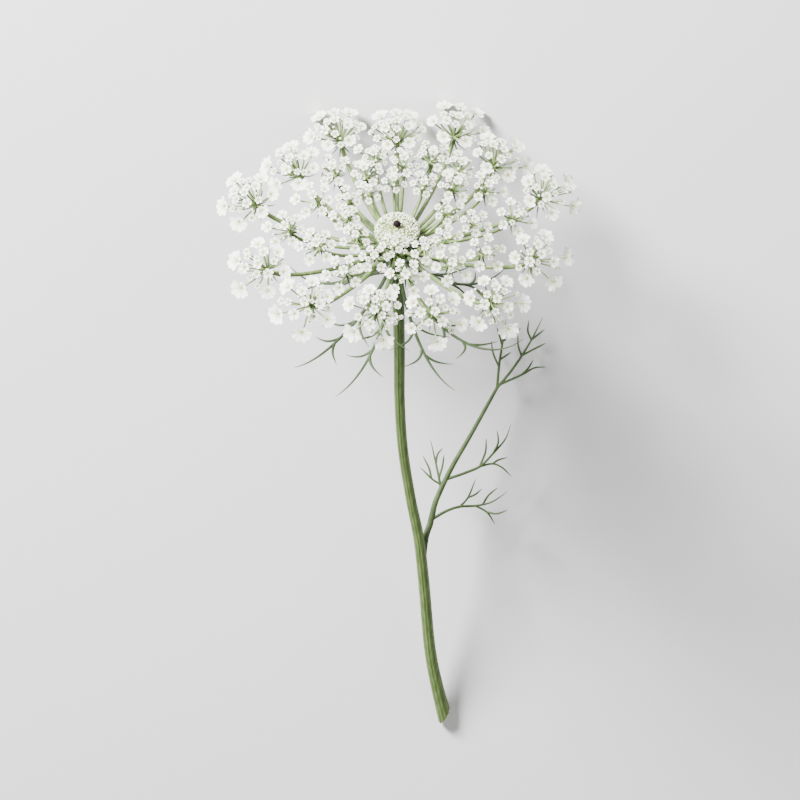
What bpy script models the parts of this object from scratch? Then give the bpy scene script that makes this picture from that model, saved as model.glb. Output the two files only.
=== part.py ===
"""Queen Anne's lace, one cut flower lying on a surface.

The flower is modelled upright, with the middle of its umbel at the origin, the umbel's
axis along +Z and its back towards +Y. It is then laid back, so that two umbellets of the
far rim and the cut end of the stem touch the surface, and moved so that the origin is at
the bottom centre of its box. Lengths are in millimetres, turned into metres by MM.
"""

import math
import random

import bmesh
import bpy
from mathutils import Matrix, Vector

MM = 0.001
CLEARANCE = 0.35

# How the flower lies
LAY_BACK_DEG = -73.2
ROLL_DEG = -2.549

# Main stem: its centre line as (side, down), and its radius at each of those points
STEM_LINE = [(0, 9), (0.4, 26), (0.7, 45), (0.8, 63), (1.8, 81), (4.2, 99.5), (6.6, 114), (8.1, 130),
             (9.9, 154), (12.1, 168.5), (15.1, 182.5)]
STEM_RADIUS = [1.8, 1.75, 1.65, 1.55, 1.5, 1.5, 1.6, 1.65, 1.7, 1.85, 2.1]
CUT_PLACE = (14.3, 0, -179.3)
CUT_FACES = (0.82, 0.22, -0.53)  # the cut end is on a slant

# The receptacle under the umbel, as a turned profile of (radius, height), outer side down
RECEPTACLE = [(0, -4.3), (5.6, -4.3), (6.3, -5.4), (5.9, -7.4), (4.2, -9.6), (2.5, -12.4), (1.7, -15.5), (0, -15.5)]
RECEPTACLE_STEPS = 14

# The pale cushion of buds in the middle, and the dark floret on it
CUSHION_RADIUS = 6.6
CUSHION_HEIGHT = 2.5
CUSHION_LEVEL = -1.2
CUSHION_FOOT = -3.9
CUSHION_TILT_DEG = 18.0
BUD_RELIEF = 0.4
DARK_RADIUS = 1.25

# Umbellets of each ring, as (azimuth in degrees from +X, reach from the axis)
OUTER = [(18, 44.5), (46, 41), (70, 49), (90, 42), (111, 46.5), (139, 37.5), (166, 42.5), (211, 44.5),
         (238, 48), (262, 45), (283, 46.5), (305, 48), (335, 43.5)]
MIDDLE = [(188, 32), (210, 26), (158, 25), (127, 30), (102, 31.5), (112, 24), (86, 28), (72, 33), (55, 32),
          (44, 23), (31, 30), (3, 34), (327, 30), (305, 27), (275, 28), (240, 30)]
INNER = [(145, 17.5), (93, 19), (120, 16), (176, 14.5), (216, 14.5), (251, 20), (267, 12), (66, 19),
         (15, 15), (357, 22.5), (327, 17), (299, 16.5)]

# Each ring's ray and head: how far the head splays outwards, the length of its pedicels, and
# for the middle floret and each whorl round it the angle from the head's axis and the petals' size
RINGS = {
    "outer": {"sites": OUTER, "splay": 0.62, "ray": 0.68, "root": -7.3, "bend": 12, "pedicel": 9.4,
              "whorls": {0: (0, 1.75), 1: (25, 1.95), 2: (54, 2.5)}, "head": 8.6},
    "middle": {"sites": MIDDLE, "splay": 0.38, "ray": 0.58, "root": -6.2, "bend": 8, "pedicel": 6.0,
               "whorls": {0: (0, 1.65), 2: (52, 1.85)}, "head": 5.6},
    "inner": {"sites": INNER, "splay": 0.2, "ray": 0.5, "root": -5.4, "bend": 4, "pedicel": 4.3,
              "whorls": {0: (0, 1.4), 2: (54, 1.55)}, "head": 4.3},
}
BRACTLETS = {"outer": 6.0, "middle": 5.0}
BRACTLET_RADIUS = (0.38, 0.32)
LIGHTWARD = 0.5  # how far every head turns towards the light, which comes from the front
TO_LIGHT = Vector((0, -0.66, 0.46))  # what turns each floret towards it as well
CROWN = 2.0  # height of the umbel's middle over its rim
RIM_REACH = 45.0
RAY_START = 4.8
CORE_RADIUS = 1.25
NECK_RADIUS = 0.5
CUP_DEPTH = 1.15
PETAL_LIFT = 0.2
LEAST_PETAL = 0.75
SEED = 7

# Bracts under the umbel, each as the (azimuth, reach, height) of the three points that draw its
# rachis out and down from BRACT_ROOT, and its lobes as (place along it, hand, length)
BRACTS = [
    [(228, 10, -22.5), (226, 30, -33.8), (219.6, 40, -33.2)],
    [(257, 10, -22.5), (252, 22, -37.9), (239.2, 36, -40.1)],
    [(283, 10, -22.5), (291, 22, -38.7), (299, 36, -37.4)],
    [(310, 9.5, -26), (316.7, 33, -37.9), (329.4, 44, -25)],
    [(20, 10, -22), (24, 28, -34), (34, 40, -29)],
    [(66, 10, -22), (62, 25, -36), (52, 38, -34)],
    [(112, 10, -22), (116, 24, -37), (128, 37, -36)],
    [(158, 10, -22), (154, 28, -34), (144, 40, -30)],
]
BRACT_ROOT = (3.5, -13.3)
BRACT_RADIUS = (0.58, 0.32)
LOBES = [(0.38, 1, 12.0), (0.43, -1, 10.5), (0.58, -1, 9.0), (0.63, 1, 8.0)]
LOBE_RADIUS = (0.45, 0.3)
LOBE_BOW = 1.4  # lobes to one side hang outside the rachis by this, and those to the other inside

# The leaf on the side of the stem, in its own plane: each branch starts on an earlier one
LEAF_BASE = (9.0, -120.2)
LEAF_LEAN_DEG = 31.0
LEAF_BRANCHES = [
    ((1.12, 0.5), [(0.4, 4.1), (0.4, 6.4), (1.7, 11.9), (3.1, 16.9), (7.5, 26.0), (13.2, 35.7), (18.0, 44.1),
                   (21.9, 51.0)]),
    ((0.45, 0.3), [(21.7, 50.6), (22.5, 58.2), (23.7, 65.4), (24.6, 71.4)]),
    ((0.34, 0.3), [(22.4, 57.0), (20.7, 60.9), (20.1, 64.8)]),
    ((0.34, 0.3), [(22.7, 59.2), (26.1, 61.5)]),
    ((0.34, 0.3), [(23.4, 63.6), (21.9, 69.0)]),
    ((0.34, 0.3), [(23.6, 64.9), (26.7, 66.6), (29.1, 68.7)]),
    ((0.45, 0.3), [(21.6, 50.5), (25.8, 55.5), (29.4, 60.6), (32.7, 66.0), (35.7, 72.0)]),
    ((0.34, 0.3), [(29.2, 60.3), (28.2, 63.6), (28.2, 66.9)]),
    ((0.34, 0.3), [(32.2, 65.2), (31.2, 67.8), (31.5, 71.1)]),
    ((0.34, 0.3), [(32.2, 65.2), (36.3, 68.4)]),
    ((0.34, 0.3), [(29.3, 60.5), (33.0, 62.4), (36.6, 64.2)]),
    ((0.4, 0.3), [(22.6, 51.7), (29.1, 54.6), (33.0, 56.7), (36.6, 57.0)]),
    ((0.34, 0.3), [(29.1, 54.6), (31.2, 56.7), (32.7, 59.1)]),
    ((0.42, 0.3), [(4.5, 19.8), (3.9, 23.4), (3.0, 27.9), (1.5, 34.8)]),
    ((0.34, 0.3), [(4.1, 21.6), (1.8, 23.1), (-1.8, 26.7)]),
    ((0.34, 0.3), [(1.6, 23.3), (0.9, 26.4), (-0.9, 30.0)]),
    ((0.34, 0.3), [(3.0, 27.9), (3.6, 30.6), (5.1, 32.4)]),
    ((0.34, 0.3), [(3.9, 23.4), (5.0, 27.0), (5.5, 30.5)]),
    ((0.5, 0.3), [(6.2, 23.0), (11.7, 24.9), (16.5, 27.0), (20.4, 30.9), (24.0, 35.1), (25.8, 39.6)]),
    ((0.34, 0.3), [(16.3, 27.0), (18.0, 31.2), (18.3, 35.4)]),
    ((0.34, 0.3), [(20.4, 30.9), (21.9, 34.2), (21.6, 37.8)]),
    ((0.34, 0.3), [(16.1, 26.8), (20.1, 27.6), (23.1, 26.4), (25.8, 23.7)]),
    ((0.34, 0.3), [(20.1, 27.6), (21.9, 28.8), (24.6, 29.7)]),
    ((0.5, 0.3), [(2.2, 11.2), (6.3, 13.5), (10.2, 14.7), (15.0, 14.9), (19.8, 16.2), (24.6, 19.2)]),
    ((0.34, 0.3), [(10.0, 14.6), (12.6, 17.4), (15.0, 23.1)]),
    ((0.34, 0.3), [(12.6, 17.4), (14.7, 18.3), (16.8, 20.1)]),
    ((0.34, 0.3), [(17.1, 15.4), (18.9, 18.3), (21.6, 20.4)]),
    ((0.34, 0.3), [(14.8, 14.9), (18.3, 12.9), (20.7, 9.3)]),
    ((0.34, 0.3), [(18.3, 12.9), (21.3, 12.6), (24.6, 13.8)]),
]
LEAFLET_LIFT = 0.09  # how far a leaflet rises out of the leaf's plane for each mm from the rachis

COLOURS = {
    "stem": (0.30, 0.40, 0.16),
    "bract": (0.24, 0.36, 0.13),
    "leaf": (0.21, 0.34, 0.12),
    "florets": (0.90, 0.90, 0.84),
    "cushion": (0.80, 0.82, 0.66),
    "dark_floret": (0.035, 0.008, 0.02),
}


def clear_scene():
    for obj in list(bpy.data.objects):
        bpy.data.objects.remove(obj, do_unlink=True)


def material(name):
    made = bpy.data.materials.get(name)
    if made is None:
        made = bpy.data.materials.new(name)
        made.use_nodes = True
        shader = made.node_tree.nodes["Principled BSDF"]
        shader.inputs["Base Color"].default_value = (*COLOURS[name], 1.0)
        shader.inputs["Roughness"].default_value = 0.6
        shader.inputs["Metallic"].default_value = 0.0
    return made


def collection(name):
    made = bpy.data.collections.new(name)
    bpy.context.scene.collection.children.link(made)
    return made


def add_mesh(name, bm, where):
    """A closed mesh object from bm, which is in millimetres, with its faces pointing out."""
    bmesh.ops.scale(bm, vec=(MM, MM, MM), verts=bm.verts[:])
    bmesh.ops.recalc_face_normals(bm, faces=bm.faces[:])
    mesh = bpy.data.meshes.new(name)
    bm.to_mesh(mesh)
    bm.free()
    obj = bpy.data.objects.new(name, mesh)
    where.objects.link(obj)
    return obj


def tube(name, points, radii, where, sides_level=0):
    """A closed mesh tube through points in mm, tapering from one radius to the next."""
    curve = bpy.data.curves.new(name, "CURVE")
    curve.dimensions = "3D"
    curve.bevel_depth = 1.0
    curve.bevel_resolution = sides_level
    curve.use_fill_caps = True
    spline = curve.splines.new("POLY")
    spline.points.add(len(points) - 1)
    for point, place, radius in zip(spline.points, points, radii):
        point.co = (*place, 1.0)
        point.radius = radius
    guide = bpy.data.objects.new(name, curve)
    where.objects.link(guide)
    bpy.context.view_layer.update()
    graph = bpy.context.evaluated_depsgraph_get()
    mesh = bpy.data.meshes.new_from_object(guide.evaluated_get(graph))
    bm = bmesh.new()
    bm.from_mesh(mesh)
    bmesh.ops.remove_doubles(bm, verts=bm.verts[:], dist=0.001)
    bpy.data.objects.remove(guide)
    bpy.data.meshes.remove(mesh)
    return add_mesh(name, bm, where)


def bezier(ends, count):
    """count points along the cubic curve of four control points."""
    a, b, c, d = (Vector(p) for p in ends)
    points = []
    for i in range(count):
        t = i / (count - 1)
        u = 1 - t
        points.append(a * u**3 + b * (3 * u * u * t) + c * (3 * u * t * t) + d * t**3)
    return points


def blended(ends, count):
    """count numbers from the first of ends to the last."""
    first, last = ends
    return [first + (last - first) * i / (count - 1) for i in range(count)]


def fuse(base, extras):
    """Joins everything in the collection extras to base by one Boolean union."""
    union = base.modifiers.new("fused", "BOOLEAN")
    union.operation = "UNION"
    union.operand_type = "COLLECTION"
    union.collection = extras
    union.solver = "EXACT"
    bpy.context.view_layer.update()
    graph = bpy.context.evaluated_depsgraph_get()
    mesh = bpy.data.meshes.new_from_object(base.evaluated_get(graph))
    base.modifiers.clear()
    base.data = mesh
    for obj in list(extras.objects):
        bpy.data.objects.remove(obj, do_unlink=True)
    bpy.data.collections.remove(extras)
    return base


def around(azimuth_deg, reach, height):
    """A point from its azimuth, its distance from the umbel's axis and its height."""
    a = math.radians(azimuth_deg)
    return Vector((reach * math.cos(a), reach * math.sin(a), height))


def sites():
    """Where each umbellet stands: its ring, its base and its axis, with its outward side."""
    found = []
    for ring, form in RINGS.items():
        for azimuth, reach in form["sites"]:
            base = around(azimuth, reach, CROWN * (1 - (reach / RIM_REACH) ** 2))
            out = around(azimuth, 1, 0)
            axis = (out * form["splay"] + Vector((0, -LIGHTWARD, 1))).normalized()
            outward = (out - axis * out.dot(axis)).normalized()
            middle = base + axis * (0.62 * form["pedicel"])
            found.append({"ring": ring, "azimuth": azimuth, "reach": reach, "base": base, "axis": axis,
                          "outward": outward, "middle": middle, "head": form["head"]})
    return found


def room_for(place, site, others):
    """How far a petal at this place may reach before it meets another umbellet's share of the umbel."""
    room = 1e9
    for other in others:
        if other is site:
            continue
        apart = (other["middle"] - site["middle"]).length
        power = (place - other["middle"]).length_squared - other["head"] ** 2
        power -= (place - site["middle"]).length_squared - site["head"] ** 2
        room = min(room, power / (2 * apart))
    return room - CLEARANCE / 2


def core_of(site, turn):
    """The small core of a head, which its pedicels grow from: a twenty-sided ball with one side up the axis."""
    bm = bmesh.new()
    bmesh.ops.create_icosphere(bm, subdivisions=1, radius=CORE_RADIUS)
    bm.faces.ensure_lookup_table()
    upright = bm.faces[0].normal.rotation_difference(Vector((0, 0, 1))).to_matrix()
    bmesh.ops.rotate(bm, matrix=upright, verts=bm.verts[:])
    beside = min(bm.faces, key=lambda face: abs(face.calc_center_median().normalized().z - 0.745))
    place = beside.calc_center_median()
    bmesh.ops.rotate(bm, matrix=Matrix.Rotation(turn - math.atan2(place.y, place.x), 3, "Z"), verts=bm.verts[:])
    axis, outward = site["axis"], site["outward"]
    local = Matrix((outward, axis.cross(outward), axis)).transposed()
    bmesh.ops.rotate(bm, matrix=local, verts=bm.verts[:])
    bmesh.ops.translate(bm, vec=site["base"] + axis * (CORE_RADIUS + CLEARANCE), verts=bm.verts[:])
    return bm


def whorl_of(polar_deg):
    """Which whorl a side of the core carries: 0 up the axis, 1 and 2 round it, 3 for the bractlets below."""
    for whorl, angle in enumerate((0, 41.8, 70.5, 138.2)):
        if abs(polar_deg - angle) < 10:
            return whorl
    return None


def florets_of(site, others, bm, turn, rng):
    """The florets of one umbellet, each on one side of its core: where it is, how it faces and how far it spreads."""
    form = RINGS[site["ring"]]
    axis, outward = site["axis"], site["outward"]
    sideways = axis.cross(outward)
    middle = site["base"] + axis * (CORE_RADIUS + CLEARANCE)
    made = []
    for face in bm.faces:
        direction = (face.calc_center_median() - middle).normalized()
        whorl = whorl_of(math.degrees(axis.angle(direction)))
        if whorl not in form["whorls"]:
            continue
        angle, petal = form["whorls"][whorl]
        bearing = math.atan2(direction.dot(sideways), direction.dot(outward))
        if whorl == 2:
            sixth = math.pi / 3
            bearing = (math.floor((bearing - turn) / sixth) + 0.5) * sixth + turn
        flat = outward * math.cos(bearing) + sideways * math.sin(bearing) if whorl else outward
        lean = math.radians(angle + rng.uniform(-2.5, 2.5) * (whorl > 0))
        facing_out = math.cos(bearing) * math.sin(lean)
        direction = axis * math.cos(lean) + flat * math.sin(lean)
        length = form["pedicel"] * (1 + 0.25 * facing_out) * rng.uniform(0.95, 1.04)
        facing = (direction + axis * 0.45 + TO_LIGHT).normalized()
        showy = site["ring"] == "outer" and whorl == 2
        made.append({"face": face, "place": site["base"] + direction * length, "facing": facing,
                     "far": (flat - facing * flat.dot(facing)).normalized(),
                     "petal": petal * (1 + 0.15 * facing_out), "showy": showy})
    return [floret for floret in made if fit_petals(floret, made, site, others)]


def fit_petals(floret, siblings, site, others):
    """Sets the reach of the five petals, clear of the florets beside it. False where too little room is left."""
    room = room_for(floret["place"], site, others)
    for other in siblings:
        if other is not floret:
            share = floret["petal"] / (floret["petal"] + other["petal"])
            room = min(room, (other["place"] - floret["place"]).length * share - CLEARANCE / 2)
    shares = (1.35, 1.1, 0.8, 0.8, 1.1) if floret["showy"] else (1.25, 1.0, 0.8, 0.8, 1.0)
    floret["reaches"] = [min(floret["petal"] * share, room) for share in shares]
    return min(floret["reaches"]) > LEAST_PETAL


def petal_outline(reaches, showy):
    """(angle, reach) of each corner round the five petals: their tips, two where broad, and the notches between."""
    outline = []
    for k, reach in enumerate(reaches):
        middle = 2 * math.pi * k / 5
        broad = showy and k in (0, 1, 4)
        spread = math.radians(17)
        outline += [(middle + turn, reach) for turn in ((-spread, spread) if broad else (0,))]
        outline.append((middle + math.pi / 5, 0.5 * min(reach, reaches[(k + 1) % 5])))
    return outline


def add_floret(bm, floret):
    """Grows a pedicel out of one side of the core, and opens it into a shallow cup of five petals."""
    facing, far, place = floret["facing"], floret["far"], floret["place"]
    side = facing.cross(far)
    root = list(floret["face"].verts)
    root_middle = floret["face"].calc_center_median()
    bm.faces.remove(floret["face"])
    spokes = [vert.co - root_middle for vert in root]
    spokes = [(spoke - facing * spoke.dot(facing)).normalized() for spoke in spokes]
    neck = [bm.verts.new(place - facing * CUP_DEPTH + spoke * NECK_RADIUS) for spoke in spokes]
    turns = [math.atan2(spoke.dot(side), spoke.dot(far)) for spoke in spokes]
    outline = petal_outline(floret["reaches"], floret["showy"])
    rim = []
    for angle, reach in outline:
        spoke = far * math.cos(angle) + side * math.sin(angle)
        rim.append(bm.verts.new(place + (spoke + facing * PETAL_LIFT) * reach))
    centre = bm.verts.new(place)
    nearest = [max(range(3), key=lambda k: math.cos(turns[k] - angle)) for angle, _ in outline]
    for i, here in enumerate(nearest):
        j = (i + 1) % len(rim)
        bm.faces.new((centre, rim[i], rim[j]))
        bm.faces.new((rim[j], rim[i], neck[here]))
        if nearest[j] != here:
            bm.faces.new((rim[j], neck[here], neck[nearest[j]]))
    join_loops(bm, root, neck)


def join_loops(bm, first, second):
    for k in range(3):
        bm.faces.new((first[k], first[(k + 1) % 3], second[(k + 1) % 3], second[k]))


def add_bractlets(bm, site, others):
    """Three thread-like bractlets that grow out of the underside of a head and curl back."""
    length = BRACTLETS.get(site["ring"])
    if not length:
        return
    axis = site["axis"]
    middle = site["base"] + axis * (CORE_RADIUS + CLEARANCE)
    for face in list(bm.faces):
        direction = (face.calc_center_median() - middle).normalized()
        if len(face.verts) != 3 or whorl_of(math.degrees(axis.angle(direction))) != 3:
            continue
        if (face.calc_center_median() - middle).length > CORE_RADIUS:
            continue
        flat = (direction - axis * direction.dot(axis)).normalized()
        bow = middle + direction * length * 0.6
        tip = bow + (flat * 0.95 - axis * 0.3) * length * 0.5
        if room_for(tip, site, others) < BRACTLET_RADIUS[1] or room_for(bow, site, others) < BRACTLET_RADIUS[0]:
            continue
        loop = list(face.verts)
        spokes = [(vert.co - face.calc_center_median()).normalized() for vert in loop]
        bm.faces.remove(face)
        for place, radius in zip((bow, tip), BRACTLET_RADIUS):
            ring = [bm.verts.new(place + spoke * radius) for spoke in spokes]
            join_loops(bm, loop, ring)
            loop = ring
        bm.faces.new(loop)


def make_umbellet(number, site, others, rng, where):
    """One umbellet: a small core just over the end of its ray, with florets all over its upper side."""
    turn = rng.uniform(-0.4, 0.4)
    bm = core_of(site, turn)
    florets = florets_of(site, others, bm, turn, rng)
    add_bractlets(bm, site, others)
    for floret in florets:
        add_floret(bm, floret)
    obj = add_mesh(f"umbellet_{number:02d}", bm, where)
    obj.data.materials.append(material("florets"))
    return obj


def ray_line(site, count=5):
    """The ray from the receptacle to an umbellet: out and down a little, then up along the head's axis."""
    form = RINGS[site["ring"]]
    azimuth, reach, base = site["azimuth"], site["reach"], site["base"]
    bend = form["bend"] * min(1.0, (reach - 5) / 25 + 0.2)
    before = base - site["axis"] * bend
    start = around(azimuth, RAY_START, form["root"])
    leaving = around(azimuth, RAY_START + 0.3 * (reach - RAY_START), form["root"] - 0.03 * reach)
    return bezier([start, leaving, before, base], count)


def make_shaft(where):
    """The main stem, cut on a slant at its lower end."""
    line = [(side, 0, -down) for side, down in STEM_LINE]
    shaft = tube("shaft", line, STEM_RADIUS, where, sides_level=2)
    bm = bmesh.new()
    bm.from_mesh(shaft.data)
    geometry = bm.verts[:] + bm.edges[:] + bm.faces[:]
    place = Vector(CUT_PLACE) * MM
    bmesh.ops.bisect_plane(bm, geom=geometry, dist=1e-6, plane_co=place, plane_no=CUT_FACES, clear_outer=True)
    bmesh.ops.holes_fill(bm, edges=[edge for edge in bm.edges if edge.is_boundary], sides=0)
    bmesh.ops.recalc_face_normals(bm, faces=bm.faces[:])
    bm.to_mesh(shaft.data)
    bm.free()


def make_stem(places, where):
    """The main stem with its receptacle and its rays, which grew as one."""
    profile = bpy.data.meshes.new("receptacle")
    corners = [Vector((radius, 0, height)) for radius, height in RECEPTACLE]
    profile.from_pydata(corners, [(i, i + 1) for i in range(len(corners) - 1)], [])
    turned = bpy.data.objects.new("receptacle", profile)
    where.objects.link(turned)
    screw = turned.modifiers.new("turned", "SCREW")
    screw.steps = screw.render_steps = RECEPTACLE_STEPS
    screw.use_merge_vertices = True
    screw.merge_threshold = 1e-4
    bpy.context.view_layer.update()
    graph = bpy.context.evaluated_depsgraph_get()
    bm = bmesh.new()
    bm.from_mesh(bpy.data.meshes.new_from_object(turned.evaluated_get(graph)))
    bpy.data.objects.remove(turned)
    stem = add_mesh("stem", bm, where)
    extras = collection("stem_parts")
    make_shaft(extras)
    for k, site in enumerate(places):
        thick = RINGS[site["ring"]]["ray"]
        points = ray_line(site)
        tube(f"ray_{k}", points, blended((thick * 1.15, thick * 0.9), len(points)), extras)
    fuse(stem, extras)
    stem.data.materials.append(material("stem"))
    return stem


def on_cushion(x, y, z):
    """A point over the middle of the cushion's rim, turned towards the light with the cushion."""
    return Matrix.Rotation(math.radians(CUSHION_TILT_DEG), 3, "X") @ Vector((x, y, z)) + Vector((0, 0, CUSHION_LEVEL))


def make_cushion(where):
    """The domed cushion of tiny buds, as a dome with alternate points raised, on a straight-sided foot."""
    segments, rings = 20, 10
    bm = bmesh.new()
    bmesh.ops.create_uvsphere(bm, u_segments=segments, v_segments=rings, radius=1.0)
    bmesh.ops.delete(bm, geom=[vert for vert in bm.verts if vert.co.z < -0.01], context="VERTS")
    for vert in bm.verts:
        row = round(math.acos(max(-1.0, min(1.0, vert.co.z))) / math.pi * rings)
        column = round(math.atan2(vert.co.y, vert.co.x) / (2 * math.pi) * segments)
        raised = BUD_RELIEF * ((row + column) % 2) if row > 1 else 0.0
        wide = CUSHION_RADIUS + raised
        vert.co = on_cushion(vert.co.x * wide, vert.co.y * wide, vert.co.z * (CUSHION_HEIGHT + raised))
    rim = [edge for edge in bm.edges if edge.is_boundary]
    made = bmesh.ops.extrude_edge_only(bm, edges=rim)["geom"]
    for vert in made:
        if isinstance(vert, bmesh.types.BMVert):
            vert.co = (vert.co.x * 0.85, vert.co.y * 0.85, CUSHION_FOOT)
    bmesh.ops.holes_fill(bm, edges=[edge for edge in bm.edges if edge.is_boundary], sides=0)
    obj = add_mesh("central_cushion", bm, where)
    obj.data.materials.append(material("cushion"))
    return obj


def make_dark_floret(where):
    """The single dark floret, a small round bead on top of the cushion."""
    bm = bmesh.new()
    bmesh.ops.create_uvsphere(bm, u_segments=10, v_segments=6, radius=DARK_RADIUS)
    bmesh.ops.scale(bm, vec=(1, 1, 0.75), verts=bm.verts[:])
    rest = on_cushion(0, 0, CUSHION_HEIGHT + CLEARANCE + DARK_RADIUS * 0.75)
    bmesh.ops.translate(bm, vec=rest, verts=bm.verts[:])
    obj = add_mesh("dark_floret", bm, where)
    obj.data.materials.append(material("dark_floret"))
    return obj


def bract_route(bract):
    """The four control points of a bract's rachis, which leaves the stem steeply and then spreads."""
    return [around(bract[0][0], *BRACT_ROOT)] + [around(*place) for place in bract]


def lobe_route(route, part, hand, length):
    """The four control points of one lobe: it leaves the rachis to one side, then curves away from it."""
    line = bezier(route, 101)
    at = Vector(line[round(part * 100)])
    ahead = (Vector(line[round(part * 100) + 3]) - at).normalized()
    out = Vector((at.x, at.y, 0)).normalized()
    tangent = Vector((-out.y, out.x, 0))
    leaving = at + (ahead * 0.85 + tangent * hand * 0.5) * length * 0.5
    away = (ahead * 0.5 + tangent * hand * 0.8).normalized()
    return [at, at.lerp(leaving, 0.6), leaving, at + away * length + out * hand * LOBE_BOW]


def make_bract(number, bract, where):
    """One bract of the ruff: a narrow rachis that arches out and hangs, with thread-like lobes."""
    route = bract_route(bract)
    count = 7
    rachis = tube(f"bract_{number}", bezier(route, count), blended(BRACT_RADIUS, count), where)
    extras = collection(f"lobes_{number}")
    for k, (part, hand, length) in enumerate(LOBES):
        lobe = bezier(lobe_route(route, part, hand, length), 4)
        tube(f"lobe_{k}", lobe, blended(LOBE_RADIUS, 4), extras)
    fuse(rachis, extras)
    rachis.data.materials.append(material("bract"))
    return rachis


def leaf_point(u, v):
    """A point of the leaf's plane, which leans back from the stem, with its leaflets lifted a little."""
    lean = math.radians(LEAF_LEAN_DEG)
    rachis_u = 0.0066 * v * v + 0.1 * v
    u -= 0.01 * v
    lift = LEAFLET_LIFT * abs(u - rachis_u) * math.sin(0.35 * v + 0.4 * u)
    along = Vector((0, math.sin(lean), math.cos(lean)))
    out = Vector((0, -math.cos(lean), math.sin(lean)))
    return Vector((LEAF_BASE[0] + u, 0, LEAF_BASE[1])) + along * v + out * lift


def make_leaf(where):
    """The side leaf: a rachis with leaflets that fork into threads."""
    extras = collection("leaflets")
    base = None
    for k, (ends, route) in enumerate(LEAF_BRANCHES):
        points = [leaf_point(u, v) for u, v in route]
        into = where if base is None else extras
        name = "leaf" if base is None else f"leaflet_{k}"
        made = tube(name, points, blended(ends, len(points)), into, sides_level=1 if base is None else 0)
        base = base or made
    fuse(base, extras)
    base.data.materials.append(material("leaf"))
    return base


def lay_down(objects):
    """Lays the upright flower on its back and puts the origin at the bottom centre of its box."""
    pose = Matrix.Rotation(math.radians(ROLL_DEG), 4, "Y") @ Matrix.Rotation(math.radians(LAY_BACK_DEG), 4, "X")
    low, high = Vector((1e9,) * 3), Vector((-1e9,) * 3)
    for obj in objects:
        obj.data.transform(pose)
        for vert in obj.data.vertices:
            low = Vector(map(min, low, vert.co))
            high = Vector(map(max, high, vert.co))
    to_origin = Matrix.Translation((-(low.x + high.x) / 2, -(low.y + high.y) / 2, -low.z))
    for obj in objects:
        obj.data.transform(to_origin)


def main():
    clear_scene()
    where = collection("queen_annes_lace")
    rng = random.Random(SEED)
    places = sites()
    made = [make_stem(places, where), make_cushion(where), make_dark_floret(where), make_leaf(where)]
    for number, bract in enumerate(BRACTS, 1):
        made.append(make_bract(number, bract, where))
    for number, site in enumerate(places, 1):
        made.append(make_umbellet(number, site, places, rng, where))
    lay_down(made)


main()
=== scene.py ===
"""Looks for the cut Queen Anne's lace that lies on a surface.

Every shape is worked out on the upright flower, in millimetres, with the middle of its
umbel at the origin and the umbel's axis along +Z, and is then laid down where the frame's
own solids lie. The places of rays and florets follow the same rules as the solids.
"""

import math
import random

import bmesh
import bpy
import numpy as np
from mathutils import Matrix, Vector


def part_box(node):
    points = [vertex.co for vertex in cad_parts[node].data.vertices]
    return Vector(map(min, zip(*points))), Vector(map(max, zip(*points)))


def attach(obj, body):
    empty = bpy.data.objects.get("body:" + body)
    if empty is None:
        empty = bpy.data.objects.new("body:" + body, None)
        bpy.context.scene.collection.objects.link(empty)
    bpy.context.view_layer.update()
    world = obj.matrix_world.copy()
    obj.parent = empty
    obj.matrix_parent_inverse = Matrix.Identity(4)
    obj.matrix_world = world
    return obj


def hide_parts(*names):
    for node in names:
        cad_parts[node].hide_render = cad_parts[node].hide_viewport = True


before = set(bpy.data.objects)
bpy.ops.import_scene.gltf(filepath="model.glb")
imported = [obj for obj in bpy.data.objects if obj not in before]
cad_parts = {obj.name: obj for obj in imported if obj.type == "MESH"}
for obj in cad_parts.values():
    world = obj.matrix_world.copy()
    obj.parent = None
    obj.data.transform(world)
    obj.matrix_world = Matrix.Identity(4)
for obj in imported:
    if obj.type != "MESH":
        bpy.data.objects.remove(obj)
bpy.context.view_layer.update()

MM = 0.001
CLEARANCE = 0.35
SHARP_DEG = 60  # edges that turn more than this stay sharp

# How the flower lies
LAY_BACK_DEG = -73.2
ROLL_DEG = -2.549

# Main stem: its centre line as (side, down), and its radius at each of those points
STEM_LINE = [(0, 9), (0.4, 26), (0.7, 45), (0.8, 63), (1.8, 81), (4.2, 99.5), (6.6, 114), (8.1, 130),
             (9.9, 154), (12.1, 168.5), (15.1, 182.5)]
STEM_RADIUS = [1.8, 1.75, 1.65, 1.55, 1.5, 1.5, 1.6, 1.65, 1.7, 1.85, 2.1]
CUT_PLACE = (14.3, 0, -179.3)
CUT_FACES = (0.82, 0.22, -0.53)  # the cut end is on a slant
RECEPTACLE = [(5.6, -4.3), (6.3, -5.4), (5.9, -7.4), (4.2, -9.6), (2.5, -12.4), (1.7, -15.5)]

# The pale cushion of buds in the middle, and the dark floret on it
CUSHION_RADIUS = 6.6
CUSHION_HEIGHT = 2.5
CUSHION_LEVEL = -1.2
CUSHION_FOOT = -3.9
CUSHION_TILT_DEG = 18.0
DARK_RADIUS = 1.25
DARK_PETAL = (0.4, 0.3)
DARK_ROWS = [(7, -0.05, 0.72), (5, 0.42, 0.42)]  # its petals: how many, how high and how far out
DARK_LEVEL = CUSHION_HEIGHT + CLEARANCE + DARK_RADIUS * 0.75

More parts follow.
